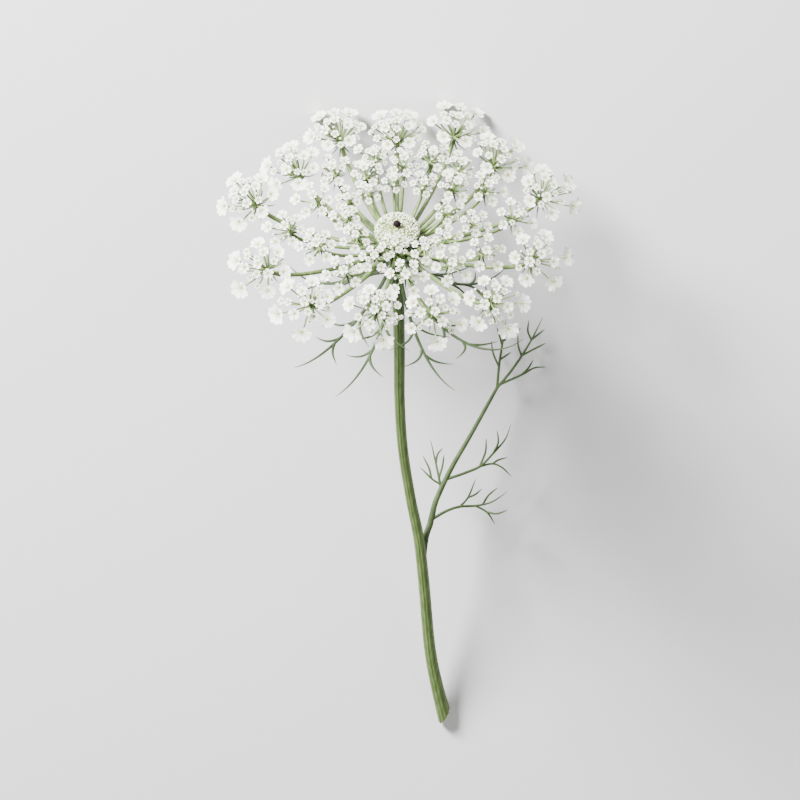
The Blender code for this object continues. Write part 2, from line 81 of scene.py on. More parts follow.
# Umbellets of each ring, as (azimuth in degrees from +X, reach from the axis)
OUTER = [(18, 44.5), (46, 41), (70, 49), (90, 42), (111, 46.5), (139, 37.5), (166, 42.5), (211, 44.5),
         (238, 48), (262, 45), (283, 46.5), (305, 48), (335, 43.5)]
MIDDLE = [(188, 32), (210, 26), (158, 25), (127, 30), (102, 31.5), (112, 24), (86, 28), (72, 33), (55, 32),
          (44, 23), (31, 30), (3, 34), (327, 30), (305, 27), (275, 28), (240, 30)]
INNER = [(145, 17.5), (93, 19), (120, 16), (176, 14.5), (216, 14.5), (251, 20), (267, 12), (66, 19),
         (15, 15), (357, 22.5), (327, 17), (299, 16.5)]

# Each ring's ray and head: how far the head splays outwards, the length of its pedicels, and
# for the middle floret and each whorl round it the angle from the head's axis and the petals' size
RINGS = {
    "outer": {"sites": OUTER, "splay": 0.62, "ray": 0.68, "root": -7.3, "bend": 12, "pedicel": 9.4,
              "whorls": {0: (0, 1.75), 1: (25, 1.95), 2: (54, 2.5)}, "head": 8.6},
    "middle": {"sites": MIDDLE, "splay": 0.38, "ray": 0.58, "root": -6.2, "bend": 8, "pedicel": 6.0,
               "whorls": {0: (0, 1.65), 2: (52, 1.85)}, "head": 5.6},
    "inner": {"sites": INNER, "splay": 0.2, "ray": 0.5, "root": -5.4, "bend": 4, "pedicel": 4.3,
              "whorls": {0: (0, 1.4), 2: (54, 1.55)}, "head": 4.3},
}
BRACTLETS = {"outer": 6.0, "middle": 5.0, "inner": 0.0}
LIGHTWARD = 0.5  # how far every head turns towards the light, which comes from the front
TO_LIGHT = Vector((0, -0.66, 0.46))  # what turns each floret towards it as well
CROWN = 2.0  # height of the umbel's middle over its rim
RIM_REACH = 45.0
RAY_START = 4.8
CORE_RADIUS = 1.25
CORE_SIDE = (0.667, 0.745)  # how one of the core's sides faces, across and along the head's axis
WHORL_ANGLES = (0, 41.8, 70.5, 138.2)  # those of the core's sides from that axis, in degrees
CUP_DEPTH = 1.15
PETAL_LIFT = 0.2
LEAST_PETAL = 0.75
PETAL_SHARES = (1.25, 1.0, 0.8, 0.8, 1.0)  # how far each of the five petals reaches, outermost first
SHOWY_SHARES = (1.35, 1.1, 0.8, 0.8, 1.1)
SEED = 7
FINE_SEED = 1000  # the finer parts of each head have their own draws, so those above stay as they are

# More florets and buds between those of the solids: how many at most, and how far they lean
FILL = {"outer": (34, 60), "middle": (26, 58), "inner": (22, 60)}
FILL_PETAL = 1.35
FILL_SHARES = (1.05, 1.0, 0.9, 0.9, 1.0)
BUD_RADIUS = 0.42
SHOWY_GROWTH = 1.16  # broad petals open this much further than those of the solids, where they have room
SHOWY_LEVEL = 0.008  # and only in florets at least this many metres over the surface
SHOWY_SHRINK = 0.82  # the share of their reach that the two petals on the umbel's side keep
GOLDEN_ANGLE = 2.39996

# Parts of a floret or bud, in millimetres, with beads as their (across, along) half sizes
PETAL_START = 0.2
PETAL_THICKNESS = 0.11
PETAL_WIDTH = 0.82  # as a share of its reach
BROAD_WIDTHS = {0: 1.08, 1: 0.95, 4: 0.95}  # the same for the broad petals, by their place round the floret
CENTRE_LOBE = (0.2, 0.17)
STAMEN_REACH = 1.15
FILAMENT_RADIUS = 0.045
ANTHER = (0.11, 0.15)
OVARY_RADIUS = 0.4
OVARY_SWELL = [0.75, 0.95, 1.0, 0.9, 0.68, 0.5]  # shares of that radius, from the floret down
BUD_OVARY_RADIUS = 0.3
BUD_OVARY_DEPTH = 0.8
BUD_PETAL = (0.24, 0.34)
PEDICEL_RADIUS = (0.27, 0.21)
KNOB = (0.85, 0.95)
PETAL_VEINS = 7  # how many run along each petal

# Beads of the cushion: how many, how large, and how far from its middle they start
CUSHION_BUDS = 900
CUSHION_BUD_RADIUS = (0.15, 0.3)
CUSHION_BARE = 1.1

# Bristles on the stem and on each ray, as (how many, length), and the pith in the cut end, as shares
# of the stem's radius
STEM_BRISTLES = (620, 0.62)
RAY_BRISTLES = (26, 0.32)
BRISTLE_RADIUS = (0.05, 0.012)
PITH_WIDTH = (0.84, 0.78)

# Bracts under the umbel, each as the (azimuth, reach, height) of the three points that draw its
# rachis out and down from BRACT_ROOT, and its lobes as (place along it, hand, length)
BRACTS = [
    [(228, 10, -22.5), (226, 30, -33.8), (219.6, 40, -33.2)],
    [(257, 10, -22.5), (252, 22, -37.9), (239.2, 36, -40.1)],
    [(283, 10, -22.5), (291, 22, -38.7), (299, 36, -37.4)],
    [(310, 9.5, -26), (316.7, 33, -37.9), (329.4, 44, -25)],
    [(20, 10, -22), (24, 28, -34), (34, 40, -29)],
    [(66, 10, -22), (62, 25, -36), (52, 38, -34)],
    [(112, 10, -22), (116, 24, -37), (128, 37, -36)],
    [(158, 10, -22), (154, 28, -34), (144, 40, -30)],
]
BRACT_FOOT = (1.2, -12.4)  # where each starts inside the stem, as (reach, height)
BRACT_ROOT = (3.5, -13.3)
BRACT_RADIUS = (0.64, 0.36)
LOBES = [(0.38, 1, 12.0), (0.43, -1, 10.5), (0.58, -1, 9.0), (0.63, 1, 8.0)]
LOBE_RADIUS = (0.5, 0.33)
LOBE_BOW = 1.4  # lobes to one side hang outside the rachis by this, and those to the other inside

# The leaf on the side of the stem, in its own plane: each branch starts on an earlier one, and has its
# radius at its root and its tip, then its points as (aside, along)
LEAF_BASE = (9.0, -120.2)
LEAF_LEAN_DEG = 31.0
LEAF_BRANCHES = [
    ((1.12, 0.5), [(0.4, 4.1), (0.4, 6.4), (1.7, 11.9), (3.1, 16.9), (7.5, 26.0), (13.2, 35.7), (18.0, 44.1),
                   (21.9, 51.0)]),
    ((0.45, 0.3), [(21.7, 50.6), (22.5, 58.2), (23.7, 65.4), (24.6, 71.4)]),
    ((0.34, 0.3), [(22.4, 57.0), (20.7, 60.9), (20.1, 64.8)]),
    ((0.34, 0.3), [(22.7, 59.2), (26.1, 61.5)]),
    ((0.34, 0.3), [(23.4, 63.6), (21.9, 69.0)]),
    ((0.34, 0.3), [(23.6, 64.9), (26.7, 66.6), (29.1, 68.7)]),
    ((0.45, 0.3), [(21.6, 50.5), (25.8, 55.5), (29.4, 60.6), (32.7, 66.0), (35.7, 72.0)]),
    ((0.34, 0.3), [(29.2, 60.3), (28.2, 63.6), (28.2, 66.9)]),
    ((0.34, 0.3), [(32.2, 65.2), (31.2, 67.8), (31.5, 71.1)]),
    ((0.34, 0.3), [(32.2, 65.2), (36.3, 68.4)]),
    ((0.34, 0.3), [(29.3, 60.5), (33.0, 62.4), (36.6, 64.2)]),
    ((0.4, 0.3), [(22.6, 51.7), (29.1, 54.6), (33.0, 56.7), (36.6, 57.0)]),
    ((0.34, 0.3), [(29.1, 54.6), (31.2, 56.7), (32.7, 59.1)]),
    ((0.42, 0.3), [(4.5, 19.8), (3.9, 23.4), (3.0, 27.9), (1.5, 34.8)]),
    ((0.34, 0.3), [(4.1, 21.6), (1.8, 23.1), (-1.8, 26.7)]),
    ((0.34, 0.3), [(1.6, 23.3), (0.9, 26.4), (-0.9, 30.0)]),
    ((0.34, 0.3), [(3.0, 27.9), (3.6, 30.6), (5.1, 32.4)]),
    ((0.34, 0.3), [(3.9, 23.4), (5.0, 27.0), (5.5, 30.5)]),
    ((0.5, 0.3), [(6.2, 23.0), (11.7, 24.9), (16.5, 27.0), (20.4, 30.9), (24.0, 35.1), (25.8, 39.6)]),
    ((0.34, 0.3), [(16.3, 27.0), (18.0, 31.2), (18.3, 35.4)]),
    ((0.34, 0.3), [(20.4, 30.9), (21.9, 34.2), (21.6, 37.8)]),
    ((0.34, 0.3), [(16.1, 26.8), (20.1, 27.6), (23.1, 26.4), (25.8, 23.7)]),
    ((0.34, 0.3), [(20.1, 27.6), (21.9, 28.8), (24.6, 29.7)]),
    ((0.5, 0.3), [(2.2, 11.2), (6.3, 13.5), (10.2, 14.7), (15.0, 14.9), (19.8, 16.2), (24.6, 19.2)]),
    ((0.34, 0.3), [(10.0, 14.6), (12.6, 17.4), (15.0, 23.1)]),
    ((0.34, 0.3), [(12.6, 17.4), (14.7, 18.3), (16.8, 20.1)]),
    ((0.34, 0.3), [(17.1, 15.4), (18.9, 18.3), (21.6, 20.4)]),
    ((0.34, 0.3), [(14.8, 14.9), (18.3, 12.9), (20.7, 9.3)]),
    ((0.34, 0.3), [(18.3, 12.9), (21.3, 12.6), (24.6, 13.8)]),
]
LEAF_SLANT = 0.01  # the whole leaf leans towards the stem by this share of its length
RACHIS_CURVE = (0.1, 0.0066)  # how far aside the rachis is, from its length and its length squared
LEAFLET_LIFT = 0.09  # how far leaflets wave out of the plane, as a share of their place beside the rachis
LEAFLET_WAVE = (0.4, 0.35)  # how fast that wave turns aside and along, in radians a millimetre

# The root of the leaf, which comes out of the stem, and the point of the rachis that it joins
LEAF_ROOT = [(7.5, 0.0, -128.0), (7.7, 0.3, -124.5), (7.95, 0.9, -121.2), (8.3, 1.8, -117.9),
             (8.85, 3.0, -114.8)]
LEAF_ROOT_RADIUS = 1.0
LEAF_ROOT_POINTS = 30
LEAF_JOIN = 12

# The camera looks at the umbel from this height over its plane
VIEW_ELEVATION_DEG = 35.0
MM_PER_PIXEL = 0.3
IMAGE_SIDE = 800
HUB_PIXEL = (397, 228)
CAMERA_DISTANCE = 10000.0
SENSOR = 36.0

# Studio light: each lamp's place from the middle of the picture in metres, as (right, up, towards
# the camera), with the size of its disc and its power in watts
LIGHTS = {
    "key": ((-0.6, 0.6, 0.7), 0.36, 78),
    "fill": ((0.8, 0.0, 0.7), 0.8, 4),
}
WORLD_STRENGTH = 0.42
FLOOR_SIDE = 6.0
FLOOR_COLOURS = [(0.0, (0.69, 0.69, 0.69)), (1.0, (0.715, 0.715, 0.715))]

# Plant surfaces, each with its two colours, the scale of its patches, its roughness, the depth of its
# relief in metres and its specular level
SURFACES = {
    "pith": ((0.6, 0.62, 0.42), (0.78, 0.79, 0.62), 900, 0.7, 0.0001, 0.4),
    "bract_green": ((0.022, 0.044, 0.01), (0.048, 0.082, 0.02), 300, 0.6, 0.0001, 0.4),
    "leaf_green": ((0.025, 0.048, 0.011), (0.058, 0.095, 0.025), 260, 0.6, 0.0001, 0.4),
    "pedicel_green": ((0.13, 0.19, 0.06), (0.24, 0.32, 0.12), 500, 0.55, 0.00006, 0.4),
    "floret_centre": ((0.3, 0.36, 0.11), (0.5, 0.55, 0.22), 1500, 0.35, 0.00004, 0.4),
    "anther": ((0.66, 0.63, 0.48), (0.86, 0.84, 0.72), 1500, 0.6, 0.00004, 0.4),
    "bud_pale": ((0.68, 0.69, 0.5), (0.9, 0.9, 0.8), 700, 0.5, 0.0001, 0.4),
    "bud_green": ((0.12, 0.16, 0.05), (0.26, 0.31, 0.11), 700, 0.5, 0.0001, 0.4),
    "dark_petal": ((0.003, 0.001, 0.002), (0.012, 0.002, 0.006), 900, 0.7, 0.00006, 0.12),
}

# The ribbed green of the stem and of the rays: darker near the umbel as painted shade from the umbel above
# them, further along, and in the streaks
RIBBED_GREENS = {
    "stem_green": ((0.055, 0.085, 0.025), (0.125, 0.185, 0.055), (0.45, 0.52, 0.36)),
    "ray_green": ((0.07, 0.11, 0.03), (0.17, 0.24, 0.08), (0.55, 0.62, 0.45)),
}

# Material slots of the umbellets, of the stem and of the cushion
PETAL, CENTRE, STAMEN, STALK, GREEN = range(5)
STEM_SKIN, RAY_SKIN, PITH = range(3)
BUD_BASE, BUD_PALE, BUD_GREEN = range(3)

POSE = Matrix.Rotation(math.radians(ROLL_DEG), 3, "Y") @ Matrix.Rotation(math.radians(LAY_BACK_DEG), 3, "X")
CUSHION_TURN = Matrix.Rotation(math.radians(CUSHION_TILT_DEG), 3, "X")
DARK_PLACE = CUSHION_TURN @ Vector((0, 0, DARK_LEVEL)) + Vector((0, 0, CUSHION_LEVEL))
dark_low, dark_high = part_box("dark_floret")
HUB = (Vector(dark_low) + Vector(dark_high)) / 2 - POSE @ DARK_PLACE * MM


# Meshes


class Shape:
    """Collects the points, faces, material slots and texture coordinates of one piece."""

    def __init__(self):
        self.points, self.faces, self.slots, self.marks = [], [], [], []
        self.count = 0

    def add(self, points, faces, slot, marks):
        """Points are in mm, faces is a list of index arrays, and marks has (across, along) for each point."""
        for block in faces:
            self.faces.append(np.asarray(block) + self.count)
            self.slots.append(np.full(len(block), slot))
        self.points.append(np.asarray(points))
        self.marks.append(np.asarray(marks))
        self.count += len(points)

    def put(self, made, slot):
        """Adds the points, faces and marks that sweep or ball gives."""
        points, faces, marks = made
        self.add(points, faces, slot, marks)

    def build(self, name, materials, nodes):
        points = np.concatenate(self.points) @ np.array(POSE).T * MM + np.array(HUB)
        corners = np.concatenate([block.ravel() for block in self.faces])
        sizes = np.concatenate([np.full(len(block), block.shape[1]) for block in self.faces])
        mesh = bpy.data.meshes.new(name)
        mesh.vertices.add(len(points))
        mesh.vertices.foreach_set("co", points.ravel())
        mesh.loops.add(len(corners))
        mesh.loops.foreach_set("vertex_index", corners)
        mesh.polygons.add(len(sizes))
        mesh.polygons.foreach_set("loop_start", np.concatenate([[0], np.cumsum(sizes)[:-1]]))
        mesh.polygons.foreach_set("material_index", np.concatenate(self.slots))
        marks = mesh.uv_layers.new(name="marks")
        marks.data.foreach_set("uv", np.concatenate(self.marks)[corners].ravel())
        mesh.update(calc_edges=True)
        mesh.validate()
        mesh.shade_smooth()
        mesh.set_sharp_from_angle(angle=math.radians(SHARP_DEG))
        for material in materials:
            mesh.materials.append(material)
        piece = bpy.data.objects.new(name, mesh)
        bpy.context.scene.collection.objects.link(piece)
        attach(piece, "root")
        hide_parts(*nodes)


def bezier(ends, count):
    """count points along the cubic curve of four control points."""
    a, b, c, d = (np.array(p, float) for p in ends)
    t = np.linspace(0, 1, count)[:, None]
    u = 1 - t
    return a * u**3 + b * (3 * u * u * t) + c * (3 * u * t * t) + d * t**3


def smooth_line(points, count):
    """count points along a smooth curve through the given ones, evenly in their order."""
    knots = np.array(points, float)
    knots = np.vstack([2 * knots[0] - knots[1], knots, 2 * knots[-1] - knots[-2]])
    place = np.linspace(0, len(points) - 1, count)
    k = np.minimum(place.astype(int), len(points) - 2)
    t = (place - k)[:, None]
    p0, p1, p2, p3 = knots[k], knots[k + 1], knots[k + 2], knots[k + 3]
    return 0.5 * (2 * p1 + (p2 - p0) * t + (2 * p0 - 5 * p1 + 4 * p2 - p3) * t**2
                  + (3 * p1 - p0 - 3 * p2 + p3) * t**3)


def unit(vectors):
    vectors = np.asarray(vectors, float)
    return vectors / np.linalg.norm(vectors, axis=-1, keepdims=True)


def frames_along(line, up):
    """Two unit vectors across the line at each of its points, turned as little as possible."""
    along = unit(np.gradient(line, axis=0))
    first = np.empty_like(line)
    across = np.array(up, float)
    for i, ahead in enumerate(along):
        across = across - ahead * across.dot(ahead)
        across /= np.linalg.norm(across)
        first[i] = across
    return first, np.cross(along, first)


def sweep(line, radii, sides, up=(0.3, 0.2, 1.0), flat=1.0, ridges=0, ridge=0.0):
    """A tube with closed, pointed ends. flat squeezes it along up, and ridges run along it."""
    line = np.asarray(line, float)
    first, second = frames_along(line, up)
    turn = np.linspace(0, 2 * math.pi, sides, endpoint=False)
    swell = 1 + ridge * np.cos(ridges * turn)
    radii = np.broadcast_to(radii, len(line))[:, None, None]
    rings = first[:, None, :] * (np.cos(turn) * swell)[None, :, None] * flat
    rings = line[:, None, :] + radii * (rings + second[:, None, :] * (np.sin(turn) * swell)[None, :, None])
    rows = len(line)
    index = np.arange(rows * sides).reshape(rows, sides)
    after = np.roll(index, -1, axis=1)
    quads = np.stack([index[:-1], after[:-1], after[1:], index[1:]], axis=-1).reshape(-1, 4)
    points = np.vstack([rings.reshape(-1, 3), line[:1], line[-1:]])
    start = np.stack([after[0], index[0], np.full(sides, rows * sides)], axis=-1)
    end = np.stack([index[-1], after[-1], np.full(sides, rows * sides + 1)], axis=-1)
    around_mark = np.tile(1 - np.abs(1 - turn / math.pi), rows)
    along_mark = np.repeat(np.linspace(0, 1, rows), sides)
    marks = np.vstack([np.stack([around_mark, along_mark], axis=-1), [[0, 0]], [[0, 1]]])
    return points, [quads, start, end], marks


def ball(middle, radii, axis, rows=5, sides=8):
    """A rounded bead about middle, longer or shorter along its axis."""
    wide, tall = radii
    polar = np.linspace(0, math.pi, rows + 2)[1:-1]
    axis = unit(axis)
    line = np.array(middle) - axis * tall * np.cos(polar)[:, None]
    across = (axis[1] + 0.3, axis[2], axis[0] + 0.1)
    points, faces, marks = sweep(line, wide * np.sin(polar), sides, up=across)
    points[-2:] = np.array(middle) + np.outer([-tall, tall], axis)
    return points, faces, marks


# Where things are on the umbel


def around(azimuth_deg, reach, height):
    """A point from its azimuth, its distance from the umbel's axis and its height."""
    a = math.radians(azimuth_deg)
    return Vector((reach * math.cos(a), reach * math.sin(a), height))


def flattened(direction, normal):
    """The unit direction nearest to this one that is square to the normal."""
    return (direction - normal * direction.dot(normal)).normalized()


def sites():
    """Where each umbellet stands: its ring, its base and its axis, with its outward side."""
    found = []
    for ring, form in RINGS.items():
        for azimuth, reach in form["sites"]:
            base = around(azimuth, reach, CROWN * (1 - (reach / RIM_REACH) ** 2))
            out = around(azimuth, 1, 0)
            axis = (out * form["splay"] + Vector((0, -LIGHTWARD, 1))).normalized()
            outward = flattened(out, axis)
            middle = base + axis * (0.62 * form["pedicel"])
            found.append({"ring": ring, "azimuth": azimuth, "reach": reach, "base": base, "axis": axis,
                          "outward": outward, "middle": middle, "head": form["head"]})
    return found


def across_head(site, bearing):
    """The unit direction square to a head's axis, at this bearing from its outward side."""
    sideways = site["axis"].cross(site["outward"])
    return site["outward"] * math.cos(bearing) + sideways * math.sin(bearing)


def room_for(place, site, others):
    """How far a petal at this place may reach before it meets another umbellet's share of the umbel."""
    room = math.inf
    for other in others:
        if other is site:
            continue
        apart = (other["middle"] - site["middle"]).length
        power = (place - other["middle"]).length_squared - other["head"] ** 2
        power -= (place - site["middle"]).length_squared - site["head"] ** 2
        room = min(room, power / (2 * apart))
    return room - CLEARANCE / 2


def sides_of_core(site, turn):
    """The direction of each side of a head's twenty-sided core, with one side up the head's axis."""
    bm = bmesh.new()
    bmesh.ops.create_icosphere(bm, subdivisions=1, radius=CORE_RADIUS)
    bm.faces.ensure_lookup_table()
    upright = bm.faces[0].normal.rotation_difference(Vector((0, 0, 1))).to_matrix()
    bmesh.ops.rotate(bm, matrix=upright, verts=bm.verts[:])
    beside = min(bm.faces, key=lambda face: abs(face.calc_center_median().normalized().z - CORE_SIDE[1]))
    place = beside.calc_center_median()
    spin = Matrix.Rotation(turn - math.atan2(place.y, place.x), 3, "Z")
    axis, outward = site["axis"], site["outward"]
    local = Matrix((outward, axis.cross(outward), axis)).transposed()
    directions = [local @ spin @ face.calc_center_median().normalized() for face in bm.faces]
    bm.free()
    return directions


def whorl_of(polar_deg):
    """Which whorl a side of the core carries: 0 up the axis, 1 and 2 round it, 3 for the bractlets below."""
    for whorl, angle in enumerate(WHORL_ANGLES):
        if abs(polar_deg - angle) < 10:
            return whorl
    return None


def florets_of(site, others, turn, rng):
    """The florets of one umbellet: where each is, how it faces and how far its petals spread."""
    form = RINGS[site["ring"]]
    axis, outward = site["axis"], site["outward"]
    sideways = axis.cross(outward)
    made = []
    for direction in sides_of_core(site, turn):
        whorl = whorl_of(math.degrees(axis.angle(direction)))
        if whorl not in form["whorls"]:
            continue
        angle, petal = form["whorls"][whorl]
        bearing = math.atan2(direction.dot(sideways), direction.dot(outward))
        if whorl == 2:
            sixth = math.pi / 3
            bearing = (math.floor((bearing - turn) / sixth) + 0.5) * sixth + turn
        flat = across_head(site, bearing) if whorl else outward
        lean = math.radians(angle + rng.uniform(-2.5, 2.5) * (whorl > 0))
        facing_out = math.cos(bearing) * math.sin(lean)
        direction = axis * math.cos(lean) + flat * math.sin(lean)
        length = form["pedicel"] * (1 + 0.25 * facing_out) * rng.uniform(0.95, 1.04)
        facing = (direction + axis * 0.45 + TO_LIGHT).normalized()
        showy = site["ring"] == "outer" and whorl == 2
        made.append({"place": site["base"] + direction * length, "facing": facing,
                     "far": flattened(flat, facing),
                     "petal": petal * (1 + 0.15 * facing_out), "showy": showy})
    return [floret for floret in made if fit_petals(floret, made, site, others)]


def fit_petals(floret, siblings, site, others):
    """Sets the reach of the five petals, clear of other florets. False where too little room is left."""
    room = room_for(floret["place"], site, others)
    for other in siblings:
        if other is not floret:
            share = floret["petal"] / (floret["petal"] + other["petal"])
            room = min(room, (other["place"] - floret["place"]).length * share - CLEARANCE / 2)
    shares = SHOWY_SHARES if floret["showy"] else PETAL_SHARES
    floret["room"] = room
    floret["reaches"] = [min(floret["petal"] * share, room) for share in shares]
    return min(floret["reaches"]) > LEAST_PETAL


def fill_between(florets, site, others, rng):
    """Smaller florets, and buds where there is less room, among those of the solids."""
    form = RINGS[site["ring"]]
    tries, widest = FILL[site["ring"]]
    axis = site["axis"]
    extra = []
    for k in range(tries):
        lean = math.radians(widest) * math.sqrt((k + 0.5) / tries)
        bearing = k * GOLDEN_ANGLE + rng.uniform(-0.2, 0.2)
        flat = across_head(site, bearing)
        direction = axis * math.cos(lean) + flat * math.sin(lean)
        length = form["pedicel"] * (1 + 0.15 * math.cos(bearing) * math.sin(lean)) * rng.uniform(0.82, 1.0)
        place = site["base"] + direction * length
        room = room_for(place, site, others)
        for other in florets + extra:
            gap = (other["place"] - place).length
            room = min(room, gap - max(other["reaches"]) * 0.8 - CLEARANCE / 3)
        if room < BUD_RADIUS + 0.12:
            continue
        facing = (direction + axis * 0.35 + TO_LIGHT).normalized()
        reach = min(room, FILL_PETAL)
        bud = reach < 0.8
        reaches = [BUD_RADIUS if bud else reach * share for share in FILL_SHARES]
        extra.append({"place": place, "facing": facing, "far": flattened(flat, facing), "reaches": reaches,
                      "showy": False, "bud": bud})
    return extra


# Florets


def petal_mesh(reach, wide, notch, cells, rise, curl, rng):
    """A notched petal as a thin closed blade, along +X from its claw, with its face towards +Z."""
    side = np.linspace(-1, 1, cells + 1)
    u, v = np.meshgrid(side, side, indexing="ij")
    along = (u * np.sqrt(1 - v * v / 2) + 1) / 2
    across = v * np.sqrt(1 - u * u / 2)
    half = wide / 2 * (0.3 + 0.95 * along**0.8)
    ripple = rng.uniform(0, 6.28)
    x = reach * (along - notch * along**4 * np.exp(-(across / 0.33) ** 2))
    y = half * across
    z = reach * (rise * along - curl * along**3 - 0.05 * np.exp(-(across / 0.3) ** 2) * along)
    z += reach * 0.035 * np.sin(5 * across + ripple) * along**2
    z += reach * 0.12 * across**2 * (along - 0.3)
    rim = (np.abs(u) > 0.999) | (np.abs(v) > 0.999)
    thick = PETAL_THICKNESS * (1 - 0.45 * along)
    top = np.stack([x, y, z], axis=-1).reshape(-1, 3)
    marks = np.stack([across * 0.5 + 0.5, along], axis=-1).reshape(-1, 2)
    number = np.arange(top.shape[0]).reshape(cells + 1, cells + 1)
    under_number = number.copy()
    inner = ~rim
    under_number[inner] = len(top) + np.arange(inner.sum())
    under = top[inner.ravel()].copy()
    under[:, 2] -= thick[inner]
    points = np.vstack([top, under])
    marks = np.vstack([marks, marks[inner.ravel()]])

    def quads(grid):
        return np.stack([grid[:-1, :-1], grid[1:, :-1], grid[1:, 1:], grid[:-1, 1:]], axis=-1).reshape(-1, 4)

    return points, [quads(number), quads(under_number)[:, ::-1]], marks


def add_floret(shape, floret, core, rng):
    """One open floret on its pedicel: ovary, five notched petals, a two-lobed centre and five stamens."""
    place, facing, far = (np.array(floret[key]) for key in ("place", "facing", "far"))
    side = np.cross(facing, far)
    size = float(np.mean(floret["reaches"]))
    turn = rng.uniform(-0.12, 0.12) if not floret["showy"] else rng.uniform(-0.05, 0.05)
    level = (POSE @ floret["place"] * MM + HUB).z
    for k, reach in enumerate(floret["reaches"]):
        angle = 2 * math.pi * k / 5 + turn
        spoke = far * math.cos(angle) + side * math.sin(angle)
        beside = np.cross(facing, spoke)
        tilt = rng.uniform(-0.1, 0.1)
        cross = beside * math.cos(tilt) + facing * math.sin(tilt)
        broad = floret["showy"] and k in BROAD_WIDTHS
        if floret["showy"] and not broad:
            reach *= SHOWY_SHRINK
        if broad and level > SHOWY_LEVEL:
            reach = min(reach * SHOWY_GROWTH, floret["room"])
        wide = reach * (BROAD_WIDTHS[k] if broad else PETAL_WIDTH) * rng.uniform(0.93, 1.05)
        notch = rng.uniform(0.16, 0.26) if broad else rng.uniform(0.1, 0.2)
        points, faces, marks = petal_mesh(reach - PETAL_START, wide, notch, 6 if broad else 4,
                                          PETAL_LIFT + rng.uniform(0.02, 0.12), rng.uniform(0.02, 0.14), rng)
        local = np.stack([spoke, cross, np.cross(spoke, cross)])
        shape.add(place + spoke * PETAL_START + points @ local, faces, PETAL, marks)
    for hand in (-1, 1):
        shape.put(ball(place + facing * 0.1 + far * 0.17 * hand, CENTRE_LOBE, facing, 4, 7), CENTRE)
    for k in range(5):
        angle = 2 * math.pi * (k + 0.5) / 5 + turn + rng.uniform(-0.15, 0.15)
        spoke = far * math.cos(angle) + side * math.sin(angle)
        reach = min(STAMEN_REACH, 0.62 * size) * rng.uniform(0.85, 1.1)
        tip = place + spoke * reach * 0.85 + facing * reach * 0.9
        bend = place + spoke * reach * 0.6 + facing * reach * 0.3
        line = bezier([place + spoke * 0.2, place + spoke * 0.35 + facing * 0.1, bend, tip], 4)
        shape.put(sweep(line, FILAMENT_RADIUS, 4), STAMEN)
        shape.put(ball(tip, ANTHER, side, 3, 6), STAMEN)
    add_pedicel(shape, place, facing, core, CUP_DEPTH, OVARY_RADIUS, rng)


def add_pedicel(shape, place, facing, core, depth, wide, rng):
    """The ovary just under a floret or bud, with the pedicel that carries it from the core."""
    line = np.linspace(0, 1, 6)[:, None] * -facing * depth + place + facing * 0.03
    shape.put(sweep(line, wide * np.array(OVARY_SWELL), 8, ridges=4, ridge=0.09), STALK)
    foot = line[-1]
    bow = rng.uniform(-0.35, 0.35) * np.cross(unit(foot - core), facing)
    middle = core + (foot - core) * 0.5 + bow
    route = bezier([core, core + (middle - core) * 0.7, foot - facing * 1.2, foot + facing * 0.1], 7)
    shape.put(sweep(route, np.linspace(*PEDICEL_RADIUS, 7), 6), STALK)


def add_bud(shape, floret, core, rng):
    """A closed bud: five petals folded into a bead."""
    place, facing, far = (np.array(floret[key]) for key in ("place", "facing", "far"))
    side = np.cross(facing, far)
    for k in range(5):
        angle = 2 * math.pi * k / 5
        spoke = far * math.cos(angle) + side * math.sin(angle)
        shape.put(ball(place + spoke * 0.16, BUD_PETAL, facing + spoke * 0.25, 4, 7), PETAL)
    add_pedicel(shape, place - facing * 0.2, facing, core, BUD_OVARY_DEPTH, BUD_OVARY_RADIUS, rng)


def add_bractlets(shape, site, others, core, turn, rng):
    """Thread-like bractlets that curl back under a head, more of them than the solid's three."""
    length = BRACTLETS[site["ring"]]
    axis = site["axis"]
    count = 7 if length else 5
    for k in range(count):
        flat = across_head(site, turn + math.pi / 3 + 2 * math.pi * k / count)
        direction = flat * CORE_SIDE[0] - axis * CORE_SIDE[1]
        reach = (length or 2.4) * rng.uniform(0.8, 1.0)
        bow = Vector(core) + direction * reach * 0.55
        tip = bow + (flat * 0.95 - axis * 0.3) * reach * 0.5
        if room_for(tip, site, others) < 0.2:
            continue
        route = bezier([core + np.array(direction) * 0.7, bow, bow.lerp(tip, 0.3), tip], 8)
        radii = 0.3 * (1 - np.linspace(0, 1, 8) ** 2 * 0.85)
        shape.put(sweep(route, radii, 6, up=axis, flat=0.5), GREEN)


def make_umbellet(number, site, others, rng, looks):
    """One umbellet, from the same rules and random draws as its solid, and then its finer parts."""
    turn = rng.uniform(-0.4, 0.4)
    florets = florets_of(site, others, turn, rng)
    fine = random.Random(FINE_SEED + number)
    core = np.array(site["base"] + site["axis"] * (CORE_RADIUS + CLEARANCE))
    shape = Shape()
    knob = core - np.array(site["axis"]) * 0.35
    shape.put(ball(knob, KNOB, site["axis"], 7, 12), STALK)
    for floret in florets:
        add_floret(shape, floret, core, fine)
    for floret in fill_between(florets, site, others, fine):
        (add_bud if floret["bud"] else add_floret)(shape, floret, core, fine)
    add_bractlets(shape, site, others, core, turn, fine)
    shape.build(f"umbellet_{number:02d}_fine", looks, [f"umbellet_{number:02d}"])


# Stem, rays, cushion and leaves


